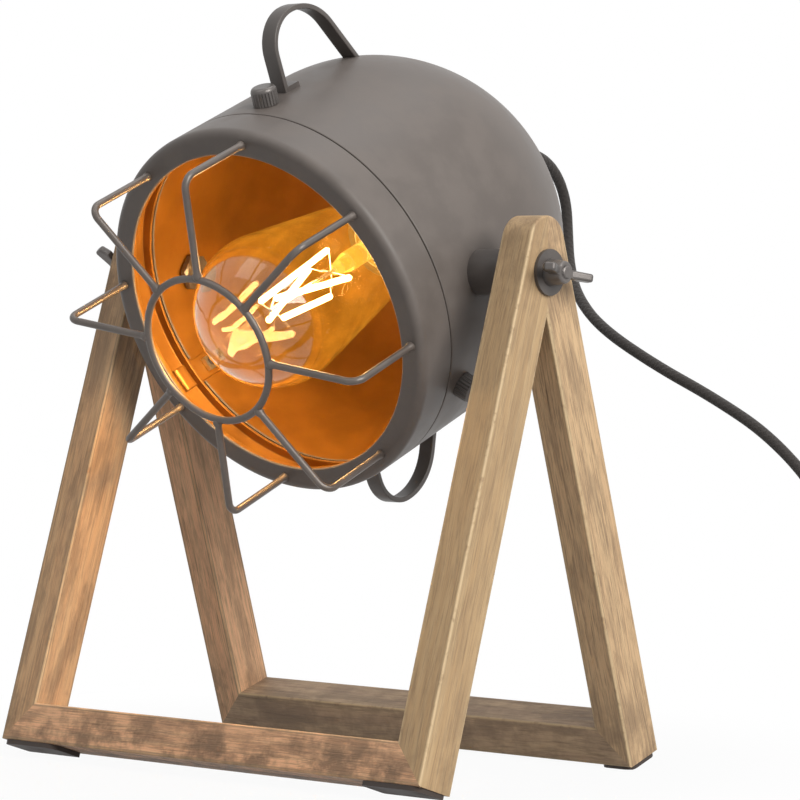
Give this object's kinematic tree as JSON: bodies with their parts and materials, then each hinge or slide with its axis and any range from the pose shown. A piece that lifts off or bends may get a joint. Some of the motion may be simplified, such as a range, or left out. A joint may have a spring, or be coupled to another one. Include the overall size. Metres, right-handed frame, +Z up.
{
  "type": "bedside lamp",
  "caption": "Bedside lamp: a wire-guarded round drum with a filament bulb tilts between the sides of an A-shaped wooden stand.",
  "frame": {"origin": "on the floor under the tilt axis, midway between the two sides of the stand", "axes": "+Z up, X along the tilt axis, the drum's opening towards -Y and tilted down"},
  "size_m": [0.5536, 0.3042, 0.3541],
  "materials": {
    "stained_wood": "satin",
    "pad_rubber": "matte",
    "shell_paint": "satin",
    "grey_paint": "satin",
    "dark_steel": "satin",
    "bright_steel": "satin",
    "brass": "satin",
    "black_plastic": "satin",
    "clear_glass": "gloss",
    "lit_filament": "gloss",
    "soft_plastic": "matte",
    "lead_cover": "matte",
    "cord_textile": "matte"
  },
  "bodies": {
    "stand": {"front_left_leg": "stained_wood", "front_right_leg": "stained_wood", "front_rail": "stained_wood", "back_left_leg": "stained_wood", "back_right_leg": "stained_wood", "back_rail": "stained_wood", "foot_pads": "pad_rubber", "cheek_washers": "grey_paint", "cord_lead": "cord_textile", "cord_link": "cord_textile", "cord_coil": "cord_textile", "cord_tail": "cord_textile", "cord_tie": "soft_plastic", "switch_lower": "black_plastic", "switch_upper": "black_plastic", "switch_contacts": "brass", "switch_screws": "bright_steel", "plug_body": "black_plastic", "plug_pins": "bright_steel"},
    "head": {"drum_shell": "shell_paint", "pivot_bolts": "dark_steel", "head_washers": "bright_steel", "pivot_spacers": "grey_paint", "tab_nuts": "bright_steel", "top_strap": "grey_paint", "bottom_strap": "grey_paint", "holder_shell": "black_plastic", "holder_cap": "black_plastic", "holder_insert": "black_plastic", "contact_shell": "brass", "centre_contact": "brass", "threaded_tube": "bright_steel", "tube_lock_nut": "bright_steel", "strain_relief": "soft_plastic", "inner_leads": "lead_cover"},
    "bezel_guard": {"bezel": "shell_paint", "guard_ring": "grey_paint", "guard_wire_1": "grey_paint", "guard_wire_2": "grey_paint", "guard_wire_3": "grey_paint", "guard_wire_4": "grey_paint", "guard_wire_5": "grey_paint", "guard_wire_6": "grey_paint", "guard_wire_7": "grey_paint", "guard_wire_8": "grey_paint"},
    "thumbscrew_top": {"thumbscrew_top": "dark_steel"},
    "thumbscrew_right": {"thumbscrew_right": "dark_steel"},
    "thumbscrew_left": {"thumbscrew_left": "dark_steel"},
    "wing_nut_right": {"wing_nut_right": "dark_steel"},
    "wing_nut_left": {"wing_nut_left": "dark_steel"},
    "bulb": {"bulb_glass": "clear_glass", "bulb_cap": "bright_steel", "cap_insulator": "black_plastic", "cap_contact": "brass", "bulb_stem": "clear_glass", "filaments": "lit_filament", "filament_supports": "bright_steel"},
    "switch_rocker": {"switch_rocker": "black_plastic"}
  },
  "joints": [
    {"name": "head_tilt", "type": "hinge", "parent": "stand", "child": "head", "pos_m": [0, 0, 0.2298], "axis": [1, 0, 0], "range_deg": [-45, 60], "deforming": ["cord_lead"]},
    {"name": "bezel_pull", "type": "slide", "parent": "head", "child": "bezel_guard", "axis": [0, -0.9205, -0.3907], "range_m": [0, 0.08]},
    {"name": "thumbscrew_top_turn", "type": "hinge", "parent": "head", "child": "thumbscrew_top", "pos_m": [0.00377, -0.05032, 0.30613], "axis": [0.0419, -0.3904, 0.9197], "continuous": true},
    {"name": "thumbscrew_right_turn", "type": "hinge", "parent": "head", "child": "thumbscrew_right", "pos_m": [0.07599, 0.00365, 0.17896], "axis": [0.8443, 0.2094, -0.4932], "continuous": true},
    {"name": "thumbscrew_left_turn", "type": "hinge", "parent": "head", "child": "thumbscrew_left", "pos_m": [-0.07976, 0.0011, 0.18497], "axis": [-0.8862, 0.181, -0.4265], "continuous": true},
    {"name": "wing_nut_right_turn", "type": "hinge", "parent": "head", "child": "wing_nut_right", "pos_m": [0.132, 0, 0.2298], "axis": [1, 0, 0], "continuous": true},
    {"name": "wing_nut_left_turn", "type": "hinge", "parent": "head", "child": "wing_nut_left", "pos_m": [-0.132, 0, 0.2298], "axis": [-1, 0, 0], "continuous": true},
    {"name": "bulb_turn", "type": "hinge", "parent": "head", "child": "bulb", "pos_m": [0, 0.04603, 0.24934], "axis": [0, -0.9205, -0.3907], "continuous": true},
    {"name": "switch_rock", "type": "hinge", "parent": "stand", "child": "switch_rocker", "pos_m": [0.317, 0.139, 0.012], "axis": [0, -1, 0], "range_deg": [0, 14]}
  ]
}
